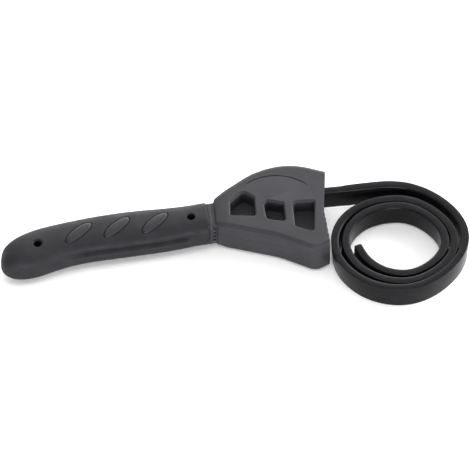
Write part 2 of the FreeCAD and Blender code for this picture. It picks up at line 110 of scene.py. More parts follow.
# The darkest part of the room is in front of the wrench, this far above the horizon. The room is shaded
# between these two cosines of the angle from there.
FRONT_LIFT = math.radians(45)
ROOM_SHADE = (-0.3, 0.85)
# The floor lies this far under the lowest point.
FLOOR_DROP = 0.00005

# The collar between the sleeve and the head: x, middle y, width, height and turn, in millimetres and
# degrees, and its sections, each as a step along X in millimetres and a share of its size.
COLLAR = (24.4, 0.3, 18.2, 17.4, 6.0)
COLLAR_CORNER = 0.14
COLLAR_STEPS = [(0.3, 1.03), (0.5, 1.07), (1.4, 1.08), (0.6, 1.04), (0.5, 0.95)]
# The small ribs on the collar's near side: x and y of their middles, and their half sizes.
RIB_PLACE = (0.0283, -0.0086)
RIB_HALF_SIZE = (0.0019, 0.0013, 0.0011)

# The head is a little fuller than its plain outline: how far its far edge moves out, how far its far corner
# at the neck does and over which length that fades, how deep the moved band is, and the jaw's move between
# two x.
HEAD_START = 0.0285
FAR_EDGE_MOVE = 0.0009
FAR_CORNER_MOVE = 0.0018
FAR_EDGE_TAPER = 0.030
FAR_EDGE_BAND = 0.0035
JAW_MOVE = 0.0006
JAW_BAND = (0.0915, 0.0955)
# The hollow along the near edge's rounding: its depth, the Y that the normals there stay below, and the
# range of their Z, up or down.
RIM_HOLLOW = 0.0004
RIM_NEAR_SIDE = -0.25
RIM_SLOPE = (0.3, 0.93)
# A height at which the head's far side is closed: above the rounded rim and below the slots.
BELOW_SLOTS = 0.0027
# The fine curved groove on the head's two faces lies beyond this y and before this x.
ARC_GROOVE_START_Y = 0.018
ARC_GROOVE_END_X = 0.088
# The flat sides lie further than this from the middle height.
FACE_REACH = 0.010
# The parting line runs round the head from this x, and stops where the jaw begins, between two y.
PARTING_START = 0.024
JAW_START = 0.072
JAW_SIDES = (-0.026, 0.032)

# The soft groove along both sides of the sleeve: its height, half its width, its depth, and the pairs of x
# between which it fades in and out.
SIDE_GROOVE_HEIGHT = 0.0142
SIDE_GROOVE_HALF_WIDTH = 0.0034
SIDE_GROOVE_DEPTH = 0.0030
SIDE_GROOVE_START = (-0.072, -0.045)
SIDE_GROOVE_END = (0.010, 0.0235)
SIDE_GROOVE_LOOPS = 12

# The ovals lie this far from their seats' middles, towards the near side. Each is drawn from above as rings,
# given as a share of its size and a height above the grip's crown in millimetres.
OVAL_SHIFT = Vector((0.0, -0.001, 0.0))
OVAL_RINGS = [
    (1.0, -0.50), (0.97, 0.05), (0.93, 0.32), (0.87, 0.50), (0.75, 0.64), (0.6, 0.72), (0.42, 0.76),
    (0.22, 0.78),
]
OVAL_THICKNESS = 0.0016
DRAWING_HEIGHT = 0.04
# The seats of the ovals reach between these distances from the middle height.
SEAT_REACH = (0.0092, 0.0140)
# The hanging holes: half the length of their straight part, and the depth and widening of their flares.
HOLE_REACH = 0.0102
FLARE_DEPTH = 0.0010
FLARE_WIDENING = 1.35

# The grip's sections from the neck to the butt: x, middle y, width, height and turn, in millimetres and
# degrees.
GRIP_SECTIONS = [
    (25.1, 0.7, 20.4, 17.0, 7.5),
    (25.1, 0.7, 23.3, 19.7, 7.5),
    (24.5, 0.7, 24.9, 20.8, 7.5),
    (22.4, 0.4, 24.9, 21.1, 6.0),
    (17.0, -0.8, 24.9, 21.2, 0.0),
    (8.0, -3.1, 25.8, 21.4, 0.0),
    (-4.2, -5.2, 26.9, 21.4, 0.0),
    (-16.4, -6.9, 28.0, 21.4, 0.0),
    (-28.5, -8.9, 28.5, 21.4, 0.0),
    (-40.8, -11.1, 28.1, 21.4, 0.0),
    (-53.0, -13.8, 27.6, 21.4, 0.0),
    (-65.2, -17.7, 28.5, 21.8, 0.0),
    (-74.0, -21.2, 30.2, 22.4, 0.0),
    (-82.0, -24.2, 30.0, 22.6, 0.0),
    (-89.5, -26.5, 26.7, 21.8, 0.0),
    (-95.2, -28.2, 21.6, 19.2, 0.0),
    (-99.1, -28.8, 14.8, 14.0, 0.0),
    (-100.8, -29.0, 7.2, 7.0, 0.0),
]


# ---------------------------------------- settings


class StudioSettings(bpy.types.PropertyGroup):
    """Camera, lights and floor."""

    target: FloatVectorProperty(
        name="Target", description="Point that the camera looks at", default=(0.0416, -0.0084, 0.0115),
        subtype="TRANSLATION",
    )
    elevation: FloatProperty(
        name="Elevation", description="Height of the camera above the horizon", default=math.radians(50),
        subtype="ANGLE",
    )
    view_width: FloatProperty(
        name="View Width", description="Width of the picture at the target", default=0.2867, unit="LENGTH"
    )
    lens: FloatProperty(name="Lens", description="Focal length in millimetres", default=600.0, min=20.0)
    floor_colour: FloatVectorProperty(
        name="Floor", description="Colour of the floor", default=(0.93, 0.93, 0.93), subtype="COLOR"
    )
    bright_side: FloatProperty(
        name="Bright Side", description="Brightness of the room behind and below", default=2.1, min=0.0
    )
    dark_side: FloatProperty(
        name="Dark Side", description="Brightness of the room in front of the wrench", default=0.4, min=0.0
    )
    floor_glow: FloatProperty(
        name="Floor Glow", description="Light from under the paper", default=0.12, min=0.0
    )


class StrapSettings(bpy.types.PropertyGroup):
    """The rubber strap."""

    width: FloatProperty(
        name="Width", description="Height of the strap on edge", default=0.015, unit="LENGTH"
    )
    thickness: FloatProperty(name="Thickness", description="Strap thickness", default=0.0050, unit="LENGTH")
    corner: FloatProperty(
        name="Corner", description="Radius of the section's corners", default=0.0004, unit="LENGTH"
    )
    inner_corner: FloatProperty(
        name="Inner Corner", description="Radius of the corners on the coil's inner side", default=0.0013,
        unit="LENGTH",
    )
    lead_angle: FloatProperty(
        name="Lead Angle", description="Way out of the jaw, from the X axis", default=math.radians(9.8),
        subtype="ANGLE",
    )
    flattening: FloatProperty(
        name="Flattening", description="How much the coil's right half is flattened", default=0.045
    )
    root_width: FloatProperty(
        name="Root Width", description="Height of the moulded root", default=0.0148, unit="LENGTH"
    )
    root_thickness: FloatProperty(
        name="Root Thickness", description="Thickness of the moulded root", default=0.0044, unit="LENGTH"
    )
    root_end: FloatProperty(
        name="Root End", description="Where the moulded root ends, from the pin", default=0.0165,
        unit="LENGTH",
    )


class HandleSettings(bpy.types.PropertyGroup):
    """The stiff moulding."""

    edge_bevel: FloatProperty(
        name="Edge Bevel", description="Rounding of the sharp edges", default=0.00025, unit="LENGTH"
    )
    rim_round: FloatProperty(
        name="Rim Round", description="Rounding of the rims of both flat sides", default=0.0024,
        unit="LENGTH",
    )
    parting_width: FloatProperty(
        name="Parting Width", description="Width of the parting line", default=0.0005, unit="LENGTH"
    )
    parting_height: FloatProperty(
        name="Parting Height", description="How far the parting line stands out", default=0.00012,
        unit="LENGTH",
    )
    rib_count: IntProperty(name="Ribs", description="Ribs on the near side of the collar", default=4, min=1)
    rib_pitch: FloatProperty(
        name="Rib Pitch", description="Distance between the ribs", default=0.0032, unit="LENGTH"
    )


class GripSettings(bpy.types.PropertyGroup):
    """The rubber sleeve and its ovals."""

    corner_share: FloatProperty(
        name="Corner Share", description="Corner of the section as a share of its side", default=0.36
    )
    oval_length: FloatProperty(name="Oval Length", description="Long axis", default=0.021, unit="LENGTH")
    oval_width: FloatProperty(name="Oval Width", description="Short axis", default=0.007, unit="LENGTH")
    oval_angle: FloatProperty(
        name="Oval Angle", description="Turn of the long axis from X", default=math.radians(46),
        subtype="ANGLE",
    )
    oval_gap: FloatProperty(
        name="Oval Gap", description="Groove round each oval", default=0.00045, unit="LENGTH"
    )
    hole_radius: FloatProperty(
        name="Hole Radius", description="Hanging holes", default=0.0025, unit="LENGTH"
    )


class ColourSettings(bpy.types.PropertyGroup):
    """Base colours."""

    handle: FloatVectorProperty(
        name="Handle", description="Dark grey plastic", default=(0.0285, 0.0279, 0.0318), subtype="COLOR"
    )
    grip: FloatVectorProperty(
        name="Grip", description="Charcoal rubber", default=(0.0148, 0.0144, 0.0171), subtype="COLOR"
    )
    inlay: FloatVectorProperty(
        name="Inlay", description="Dark grey ovals", default=(0.0175, 0.0171, 0.0197), subtype="COLOR"
    )
    strap: FloatVectorProperty(
        name="Strap", description="Black rubber", default=(0.0040, 0.0039, 0.0047), subtype="COLOR"
    )
    steel: FloatVectorProperty(
        name="Steel", description="Turned steel", default=(0.55, 0.55, 0.56), subtype="COLOR"
    )


# ---------------------------------------- modelling helpers


def ease(value):
    """0 below 0, 1 above 1, and a smooth step between."""
    value = min(max(value, 0.0), 1.0)
    return value * value * (3.0 - 2.0 * value)


def new_piece(name, data):
    """A piece of this mesh or curve, put into the scene."""
    piece = bpy.data.objects.new(name, data)
    bpy.context.scene.collection.objects.link(piece)
    return piece


def end_edit():
    """Goes back to object mode."""
    bpy.ops.object.mode_set(mode="OBJECT")


def deselect():
    """Leaves edit mode, with nothing selected."""
    if bpy.context.mode != "OBJECT":
        end_edit()
    bpy.ops.object.select_all(action="DESELECT")


def activate(piece):
    """The piece alone is selected and active."""
    deselect()
    piece.select_set(True)
    bpy.context.view_layer.objects.active = piece


def edit(piece, select="SELECT"):
    """Opens the piece alone in edit mode, with all of it selected, or none."""
    activate(piece)
    bpy.ops.object.mode_set(mode="EDIT")
    bpy.ops.mesh.select_all(action=select)


def select_faces(piece, test):
    """In edit mode, selects the faces that pass the test, and only those."""
    bpy.ops.mesh.select_mode(type="FACE")
    mesh = bmesh.from_edit_mesh(piece.data)
    for face in mesh.faces:
        face.select_set(test(face))
    mesh.select_flush_mode()
    bmesh.update_edit_mesh(piece.data)


def extrude(step):
    """In edit mode, draws what is selected out by this step."""
    bpy.ops.mesh.extrude_region_move(TRANSFORM_OT_translate={"value": step})


def face_outwards():
    """In edit mode, turns all faces of the piece outwards."""
    bpy.ops.mesh.select_all(action="SELECT")
    bpy.ops.mesh.normals_make_consistent(inside=False)


def apply_modifier(piece, kind, **settings):
    """Adds a modifier with these settings and applies it."""
    activate(piece)
    modifier = piece.modifiers.new(kind.title(), kind)
    for key, value in settings.items():
        setattr(modifier, key, value)
    bpy.ops.object.modifier_apply(modifier=modifier.name)


def boolean(piece, cutter, operation):
    """Cuts or joins the cutter into the piece and removes it."""
    apply_modifier(piece, "BOOLEAN", object=cutter, operation=operation, solver="EXACT")
    bpy.data.objects.remove(cutter)
    if len(piece.data.polygons) == 0:
        raise RuntimeError(f"{piece.name}: nothing is left after a boolean")


def smooth(piece, degrees):
    """Smooth shading over every edge flatter than this."""
    activate(piece)
    bpy.ops.object.shade_smooth_by_angle(angle=math.radians(degrees))


def place_in_mesh(piece):
    """Moves the piece's place, turn and size into its mesh."""
    activate(piece)
    bpy.ops.object.transform_apply(location=True, rotation=True, scale=True)


def finish_piece(piece, body, slot, material, *replaced):
    """Gives the piece its material, its body and what it stands for."""
    deselect()
    piece.data.materials.clear()
    piece.data.materials.append(material)
    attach(piece, body)
    if replaced:
        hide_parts(*replaced)


def cut_levels(piece, levels):
    """Cuts the piece's faces at these heights, and leaves it in edit mode."""
    edit(piece)
    for level in levels:
        bpy.ops.mesh.select_all(action="SELECT")
        bpy.ops.mesh.bisect(plane_co=(0.0, 0.0, level), plane_no=(0.0, 0.0, 1.0))


def merged_copy(node, name):
    """A copy of a CAD node's mesh with its loose triangles merged into whole faces."""
    piece = new_piece(name, frame["nodes"][node].data.copy())
    edit(piece)
    bpy.ops.mesh.remove_doubles(threshold=0.002 * MM)
    bpy.ops.mesh.dissolve_limited(angle_limit=math.radians(0.4))
    end_edit()
    return piece


# ---------------------------------------- material helpers


def start_material(name, specular):
    """A new material with this much mirror-like shine."""
    material = bpy.data.materials.new(name)
    material.use_nodes = True
    material.node_tree.nodes["Principled BSDF"].inputs["Specular IOR Level"].default_value = specular
    return material


def add_node(material, kind, inputs, **settings):
    """A shader node in a material or a world, whose inputs are sockets to link or plain values."""
    node = material.node_tree.nodes.new(kind)
    for key, value in settings.items():
        setattr(node, key, value)
    for name, value in inputs.items():
        if isinstance(value, bpy.types.NodeSocket):
            material.node_tree.links.new(value, node.inputs[name])
        else:
            node.inputs[name].default_value = value
    return node


def own_place(material):
    """The place of each point in its piece's own frame."""
    return add_node(material, "ShaderNodeTexCoord", {}).outputs["Object"]


def noise(material, where, scale, detail=3.0):
    """Cloudy noise from 0 to 1."""
    inputs = {"Vector": where, "Scale": scale, "Detail": detail}
    return add_node(material, "ShaderNodeTexNoise", inputs).outputs["Fac"]


def between(material, value, low, high, out_low, out_high):
    """The value, taken from one range to another and kept inside it."""
    inputs = {"Value": value, "From Min": low, "From Max": high, "To Min": out_low, "To Max": out_high}
    return add_node(material, "ShaderNodeMapRange", inputs).outputs["Result"]


def tint(material, share, dark, light):
    """A colour between two, mixed by a share from 0 to 1. The dark one is plain or a socket."""
    # A Mix node has inputs of one name for each kind of data. These are its colours.
    dark_input, light_input, colour_output = 6, 7, 2
    if not isinstance(dark, bpy.types.NodeSocket):
        dark = (*dark, 1.0)
    inputs = {"Factor": share, dark_input: dark, light_input: (*light, 1.0)}
    return add_node(material, "ShaderNodeMix", inputs, data_type="RGBA").outputs[colour_output]


def bump(material, height, distance, strength, below=None):
    """A normal that follows the height, over the one below it."""
    inputs = {"Height": height, "Distance": distance, "Strength": strength}
    if below is not None:
        inputs["Normal"] = below
    return add_node(material, "ShaderNodeBump", inputs).outputs["Normal"]


def connect(material, **sockets):
    """Links sockets to the shader's inputs, by their names with _ for a space."""
    shader = material.node_tree.nodes["Principled BSDF"]
    for name, socket in sockets.items():
        material.node_tree.links.new(socket, shader.inputs[name.replace("_", " ")])


def scaled(colour, factor):
    """The colour, made darker or lighter."""
    return tuple(min(channel * factor, 1.0) for channel in colour)


# ---------------------------------------- materials


def handle_plastic():
    """Spark-textured dark plastic, with a painted highlight that makes it paler along its sharp edges."""
    colour = bpy.context.scene.wrench_colours.handle
    material = start_material("handle_plastic", 0.15)
    where = own_place(material)
    clouds = between(material, noise(material, where, 45.0), 0.35, 0.65, 0.0, 1.0)
    base = tint(material, clouds, scaled(colour, 0.9), scaled(colour, 1.1))
    edges = add_node(material, "ShaderNodeNewGeometry", {}).outputs["Pointiness"]
    # Painted highlight: the convex edges are made paler in colour, standing in for the light they catch.
    painted_edge_highlight = between(material, edges, 0.52, 0.62, 0.0, 0.45)
    grain = noise(material, where, 2200.0, 2.0)
    sparks = noise(material, where, 700.0, 4.0)
    roughness = between(material, sparks, 0.3, 0.7, 0.46, 0.6)
    fine = bump(material, grain, 0.05 * MM, 0.35)
    connect(
        material,
        Base_Color=tint(material, painted_edge_highlight, base, scaled(colour, 2.2)),
        Roughness=roughness,
        Normal=bump(material, sparks, 0.12 * MM, 0.25, fine),
    )
    return material


def grip_rubber():
    """Soft matt rubber with faint paler scuffs."""
    colour = bpy.context.scene.wrench_colours.grip
    material = start_material("grip_rubber", 0.14)
    where = own_place(material)
    scuffs = between(material, noise(material, where, 120.0, 6.0), 0.45, 0.75, 0.0, 1.0)
    base = tint(material, scuffs, scaled(colour, 0.92), scaled(colour, 1.35))
    grain = noise(material, where, 1600.0, 3.0)
    roughness = between(material, noise(material, where, 200.0), 0.3, 0.7, 0.52, 0.64)
    connect(
        material,
        Base_Color=base,
        Roughness=roughness,
        Normal=bump(material, grain, 0.08 * MM, 0.3),
    )
    return material


def inlay_plastic():
    """Satin hard plastic of the ovals."""
    colour = bpy.context.scene.wrench_colours.inlay
    material = start_material("inlay_plastic", 0.18)
    where = own_place(material)
    clouds = noise(material, where, 300.0, 3.0)
    base = tint(material, clouds, scaled(colour, 0.9), scaled(colour, 1.12))
    grain = noise(material, where, 1800.0, 2.0)
    roughness = between(material, clouds, 0.3, 0.7, 0.4, 0.5)
    connect(material, Base_Color=base, Roughness=roughness, Normal=bump(material, grain, 0.05 * MM, 0.3))
    return material


def strap_rubber():
    """Extruded black rubber: faint lines along the strap, dust and a satin skin. Its map runs in metres
    along the strap and round its section."""
    colour = bpy.context.scene.wrench_colours.strap
    material = start_material("strap_rubber", 0.11)
    along = add_node(material, "ShaderNodeUVMap", {}, uv_map="along_strap").outputs["UV"]
    lines_at = add_node(material, "ShaderNodeMapping", {"Vector": along, "Scale": (12.0, 2600.0, 1.0)})
    lines = noise(material, lines_at.outputs["Vector"], 1.0, 3.0)
    where = own_place(material)
    dust = between(material, noise(material, where, 160.0, 5.0), 0.5, 0.8, 0.0, 1.0)
    base = tint(material, dust, colour, scaled(colour, 1.9))
    roughness = between(material, lines, 0.3, 0.7, 0.25, 0.35)
    grain = bump(material, noise(material, where, 1500.0, 2.0), 0.04 * MM, 0.25)
    connect(
        material,
        Base_Color=base,
        Roughness=roughness,
        Normal=bump(material, lines, 0.05 * MM, 0.3, grain),
    )
    return material


def pin_steel():
    """Turned steel with fine rings across the pin's end."""
    colour = bpy.context.scene.wrench_colours.steel
    material = start_material("pin_steel", 0.5)
    material.node_tree.nodes["Principled BSDF"].inputs["Metallic"].default_value = 1.0
    where = own_place(material)
    centred = add_node(material, "ShaderNodeMapping", {"Vector": where, "Location": -PIN}).outputs["Vector"]
    rings = add_node(
        material, "ShaderNodeTexWave", {"Vector": centred, "Scale": 900.0, "Distortion": 1.5},
        wave_type="RINGS", rings_direction="Z",
    ).outputs["Fac"]
    base = tint(material, noise(material, where, 900.0), scaled(colour, 0.75), scaled(colour, 1.1))
    roughness = between(material, rings, 0.0, 1.0, 0.28, 0.42)
    connect(material, Base_Color=base, Roughness=roughness, Normal=bump(material, rings, 0.01 * MM, 0.4))
    return material


def floor_paper():
    """Plain white studio paper."""
    colour = bpy.context.scene.wrench_studio.floor_colour
    material = start_material("floor_paper", 0.1)
    where = own_place(material)
    clouds = noise(material, where, 3.0)
    shader = material.node_tree.nodes["Principled BSDF"]
    shader.inputs["Roughness"].default_value = 0.9
    shader.inputs["Emission Color"].default_value = (1.0, 1.0, 1.0, 1.0)
    shader.inputs["Emission Strength"].default_value = bpy.context.scene.wrench_studio.floor_glow
    connect(material, Base_Color=tint(material, clouds, scaled(colour, 0.99), colour))
    return material


# ---------------------------------------- studio


def add_softbox(name, place, size, power):
    """A square lamp that shines at the wrench's middle."""
    target = Vector(bpy.context.scene.wrench_studio.target)
    bpy.ops.object.light_add(type="AREA", location=place)
    lamp = bpy.context.object
    lamp.name = name
    lamp.data.size = size
    lamp.data.energy = power
    lamp.rotation_euler = (target - Vector(place)).to_track_quat("-Z", "Y").to_euler()


class WRENCH_OT_studio(bpy.types.Operator):
    """Sets up the camera, the white room, the softboxes and the floor"""

    bl_idname = "wrench.studio"
    bl_label = "Studio"

    def execute(self, context):
        settings = context.scene.wrench_studio
        self.add_camera(context, settings)
        self.add_room(context, settings)
        self.add_floor(context)
        for name, place, size, power in SOFTBOXES:
            add_softbox(name, place, size, power)
        return {"FINISHED"}

    def add_camera(self, context, settings):
        """The camera, far enough off for its lens to show the view's width."""
        target = Vector(settings.target)
        lift = settings.elevation
        back = Vector((0.0, -math.cos(lift), math.sin(lift)))
        bpy.ops.object.camera_add()
        camera = context.object
        camera.name = "camera"
        camera.data.lens = settings.lens
        distance = settings.view_width * settings.lens / camera.data.sensor_width
        camera.location = target + back * distance
        camera.rotation_euler = (-back).to_track_quat("-Z", "Y").to_euler()
        camera.data.clip_end = 20.0
        context.scene.camera = camera

    def add_room(self, context, settings):
        """A white room, bright behind and below and darker in front."""
        world = context.scene.world or bpy.data.worlds.new("room")
        context.scene.world = world
        context.scene.view_settings.view_transform = "Standard"
        world.use_nodes = True
        background = world.node_tree.nodes["Background"]
        background.inputs["Color"].default_value = (1.0, 1.0, 1.0, 1.0)
        front = (0.0, -math.cos(FRONT_LIFT), math.sin(FRONT_LIFT))
        direction = add_node(world, "ShaderNodeTexCoord", {}).outputs["Generated"]
        towards_front = add_node(
            world, "ShaderNodeVectorMath", {0: direction, 1: front}, operation="DOT_PRODUCT"
        ).outputs["Value"]
        shade = between(world, towards_front, *ROOM_SHADE, settings.bright_side, settings.dark_side)
        world.node_tree.links.new(shade, background.inputs["Strength"])

    def add_floor(self, context):
        """A wide sheet of paper just under the wrench."""
        bpy.ops.mesh.primitive_plane_add(size=6.0, location=(0.0, 0.0, -FLOOR_DROP))
        floor = context.object
        floor.name = "floor"
        floor.data.materials.append(floor_paper())


# ---------------------------------------- strap


def lead_point(distance, height):
    """A point of the straight lead at a distance from the pin."""
    angle = bpy.context.scene.wrench_strap.lead_angle
    return Vector((PIN.x + distance * math.cos(angle), PIN.y + distance * math.sin(angle), height))


def coil_centre(height):
    """The coil's centre, where the lead runs into its outer turn without a kink."""
    lead, outer = bpy.context.scene.wrench_strap.lead_angle, COIL_TURNS[0][2]
    return lead_point(LEAD_LENGTH, height) + Vector((outer * math.sin(lead), -outer * math.cos(lead), 0.0))


def coil_point(angle, height):
    """A point of the coil's middle line at a polar angle in degrees, which falls as the strap winds in."""
    settings = bpy.context.scene.wrench_strap
    x, y, radius = COIL_TURNS[0]
    stretch = 1.0
    for (start, end), turn, last in zip(COIL_CHANGES, COIL_TURNS[1:], COIL_TURNS):
        share = ease((angle - start) / (end - start))
        x += share * (turn[0] - last[0])
        y += share * (turn[1] - last[1])
        radius += share * (turn[2] - last[2])
        stretch = max(stretch, 1 + share * (COIL_STRETCH - 1))
    turned = math.radians(angle)
    if math.cos(turned) > 0:
        radius *= 1 - settings.flattening * math.sin(2 * turned) ** 2
    radius *= 1 + (stretch - 1) * math.cos(turned - COIL_STRETCH_ANGLE) ** 2
    # The spline runs through the middles of its points' lines, so the points stand out by this share.
    radius /= math.cos(math.radians(COIL_STEP / 2))
    return coil_centre(height) + Vector((x + radius * math.cos(turned), y + radius * math.sin(turned), 0.0))


def strap_points():
    """Control points of the strap's middle line, from the pin to the free end."""
    start = 90 + math.degrees(bpy.context.scene.wrench_strap.lead_angle)
    steps = round((start - COIL_END_ANGLE) / COIL_STEP)
    heights = [COIL_HEIGHTS[min(k, len(COIL_HEIGHTS) - 1)] for k in range(steps + 1)]
    heights[-len(TIP_HEIGHTS):] = TIP_HEIGHTS
    points = [lead_point(distance, height) for distance, height in LEAD_POINTS]
    for k, height in enumerate(heights):
        points.append(coil_point(start + (COIL_END_ANGLE - start) * k / steps, height))
    return points


def strap_path():
    """Points read from the smooth spline through the strap's control points."""
    points = strap_points()
    curve = bpy.data.curves.new("strap_route", "CURVE")
    curve.dimensions = "3D"
    curve.resolution_u = 5
    spline = curve.splines.new("NURBS")
    spline.points.add(len(points) - 1)
    for control, point in zip(spline.points, points):
        control.co = (*point, 1.0)
    spline.order_u = 3
    spline.use_endpoint_u = True
    route = new_piece("strap_route", curve)
    mesh = bpy.data.meshes.new_from_object(route)
    path = [vertex.co.copy() for vertex in mesh.vertices]
    bpy.data.meshes.remove(mesh)
    bpy.data.objects.remove(route)
    return path


def strap_section(settings, steps=4):
    """The rounded section, as (across, up) points in order. Across points to the inside of the coil."""
    section = []
    for quarter in range(4):
        side = 1 if quarter in (0, 3) else -1
        corner = settings.inner_corner if side > 0 else settings.corner
        across = side * (settings.thickness / 2 - corner)
        up = (settings.width / 2 - corner) * (1 if quarter in (0, 1) else -1)
        for k in range(steps + 1):
            angle = math.pi / 2 * (quarter + k / steps)
            section.append((across + corner * math.cos(angle), up + corner * math.sin(angle)))
    return section


def distances_along(path):
    """Each point's distance from the first, along the path."""
    distances = [0.0]
    for last, point in zip(path, path[1:]):
        distances.append(distances[-1] + (point - last).length)
    return distances


def strap_share(distance, length, settings):
    """Share of the section's thickness and width at a distance: smaller at the moulded root, and rounded at
    the cut free end."""
    step = min(max((distance - settings.root_end) / ROOT_STEP, 0.0), 1.0)
    across = settings.root_thickness / settings.thickness
    up = settings.root_width / settings.width
    across, up = across + (1 - across) * step, up + (1 - up) * step
    left = (length - distance) / END_ROUND
    if left < 1:
        lost = END_ROUND * (1 - math.sqrt(max(1 - (1 - left) ** 2, 0.0)))
        across -= 2 * lost / settings.thickness
        up -= 2 * lost / settings.width
    return across, up


def strap_lean(point, distance):
    """How far the strap leans there, most at the coil's two sides: above 0, its lower edge is further in."""
    outwards = point - coil_centre(point.z)
    sideways = (outwards.x / outwards.length) ** 2
    for (start, before), (end, after) in zip(STRAP_LEANS, STRAP_LEANS[1:]):
        if start <= distance < end:
            return sideways * (before + (after - before) * ease((distance - start) / (end - start)))
    return 0.0


class WRENCH_OT_strap(bpy.types.Operator):
    """Models the strap on edge along its spline, with its moulded eye round the pin"""

    bl_idname = "wrench.strap"
    bl_label = "Strap"

    def execute(self, context):
        settings = context.scene.wrench_strap
        rubber = strap_rubber()
        path = strap_path()
        strap = self.model_belt(settings, path)
        eye = self.model_eye(context, settings)
        finish_piece(eye, "strap", "strap_rubber", rubber, "strap_eye")
        finish_piece(strap, "strap", "strap_rubber", rubber, "strap_run", "strap_coil")
        return {"FINISHED"}

    def model_belt(self, settings, path):
        """The section drawn along the path, with a map in metres along and round it."""
        path = self.with_fine_end(path)
        distances = distances_along(path)
        section = strap_section(settings)
        around = distances_along([Vector((a, u, 0.0)) for a, u in [*section, section[0]]])
        vertices = []
        for k, point in enumerate(path):
            ahead = (path[min(k + 1, len(path) - 1)] - path[max(k - 1, 0)]).normalized()
            side = ahead.cross(Vector((0.0, 0.0, 1.0))).normalized()
            up = side.cross(ahead)
            share_across, share_up = strap_share(distances[k], distances[-1], settings)
            lean = strap_lean(point, distances[k])
            for across, rise in section:
                foot_in = lean * (settings.width / 2 - rise)
                vertices.append(point + side * (across * share_across + foot_in) + up * (rise * share_up))
        count = len(section)
        faces, places = [], []
        for k in range(len(path) - 1):
            near, far = distances[k], distances[k + 1]
            this_ring, next_ring = k * count, (k + 1) * count
            for m in range(count):
                following = (m + 1) % count
                faces.append((this_ring + m, this_ring + following, next_ring + following, next_ring + m))
                places += [(near, around[m]), (near, around[m + 1]), (far, around[m + 1]), (far, around[m])]
        last = (len(path) - 1) * count
        faces.append(tuple(reversed(range(count))))
        faces.append(tuple(range(last, last + count)))
        places += [(0.0, 0.0)] * (2 * count)
        mesh = bpy.data.meshes.new("strap")
        mesh.from_pydata(vertices, [], faces)
        layer = mesh.uv_layers.new(name="along_strap")
        for corner, place in zip(layer.data, places):
            corner.uv = place
        strap = new_piece("strap_belt", mesh)
        edit(strap)
        face_outwards()
        smooth(strap, 40.0)
        return strap

    def with_fine_end(self, path):
        """The path with its last stretch divided finely, for the free end's rounded edges."""
        end, before = path[-1], path[-2]
        back = (before - end).normalized()
        kept = [point for point in path[:-1] if (point - end).length > END_ROUND * 1.2]
        return [*kept, *(end + back * (END_ROUND * share) for share in (1.0, 0.6, 0.3, 0.1)), end]

    def model_eye(self, context, settings):
        """A thick ring, bored for the pin."""
        bpy.ops.mesh.primitive_cylinder_add(
            vertices=64, radius=EYE_OUTER, depth=settings.root_width, location=PIN
        )
        eye = context.object
        eye.name = "strap_eye_ring"
        edit(eye, "DESELECT")
        select_faces(eye, lambda face: abs(face.normal.z) > 0.9)
        bpy.ops.mesh.inset(thickness=EYE_FLAT, depth=0.0)
        bpy.ops.mesh.inset(thickness=EYE_OUTER - EYE_BORE - EYE_FLAT, depth=0.0)
        bpy.ops.mesh.bridge_edge_loops()
        face_outwards()
        place_in_mesh(eye)
        eye.data.uv_layers[0].name = "along_strap"
        apply_modifier(eye, "BEVEL", width=EYE_EDGE, segments=3, limit_method="ANGLE")
        smooth(eye, 35.0)
        return eye


# ---------------------------------------- handle moulding


def in_metres(x, y, width, height, turn):
    """A section's values, turned from millimetres and degrees into metres and radians."""
    return x * MM, y * MM, width * MM, height * MM, math.radians(turn)


def upright_ring(name, corner_share, section):
    """A rounded section across X at its place, selected in edit mode."""
    x, y, width, height, turn = section
    bpy.ops.mesh.primitive_plane_add(size=1.0, location=(0.0, 0.0, 0.0))
    piece = bpy.context.object
    piece.name = name
    edit(piece)
    bpy.ops.mesh.bevel(offset=corner_share, segments=4, affect="VERTICES")
    bpy.ops.mesh.select_all(action="SELECT")
    bpy.ops.transform.rotate(value=math.pi / 2, orient_axis="Y", center_override=(0.0, 0.0, 0.0))
    bpy.ops.transform.resize(value=(1.0, width, height), center_override=(0.0, 0.0, 0.0))
    bpy.ops.transform.translate(value=(x, y, MID_HEIGHT))
    bpy.ops.transform.rotate(value=-turn, orient_axis="Z", center_override=(x, y, MID_HEIGHT))
    return piece


def model_collar():
    """The collar between the sleeve and the head, drawn out along X in steps."""
    section = in_metres(*COLLAR)
    middle = (section[0], section[1], MID_HEIGHT)
    collar = upright_ring("collar", COLLAR_CORNER, section)
    last = 1.0
    for move, share in COLLAR_STEPS:
        extrude((move * MM, 0.0, 0.0))
        bpy.ops.transform.resize(value=(1.0, share / last, share / last), center_override=middle)
        last = share
    face_outwards()
    end_edit()
    return collar


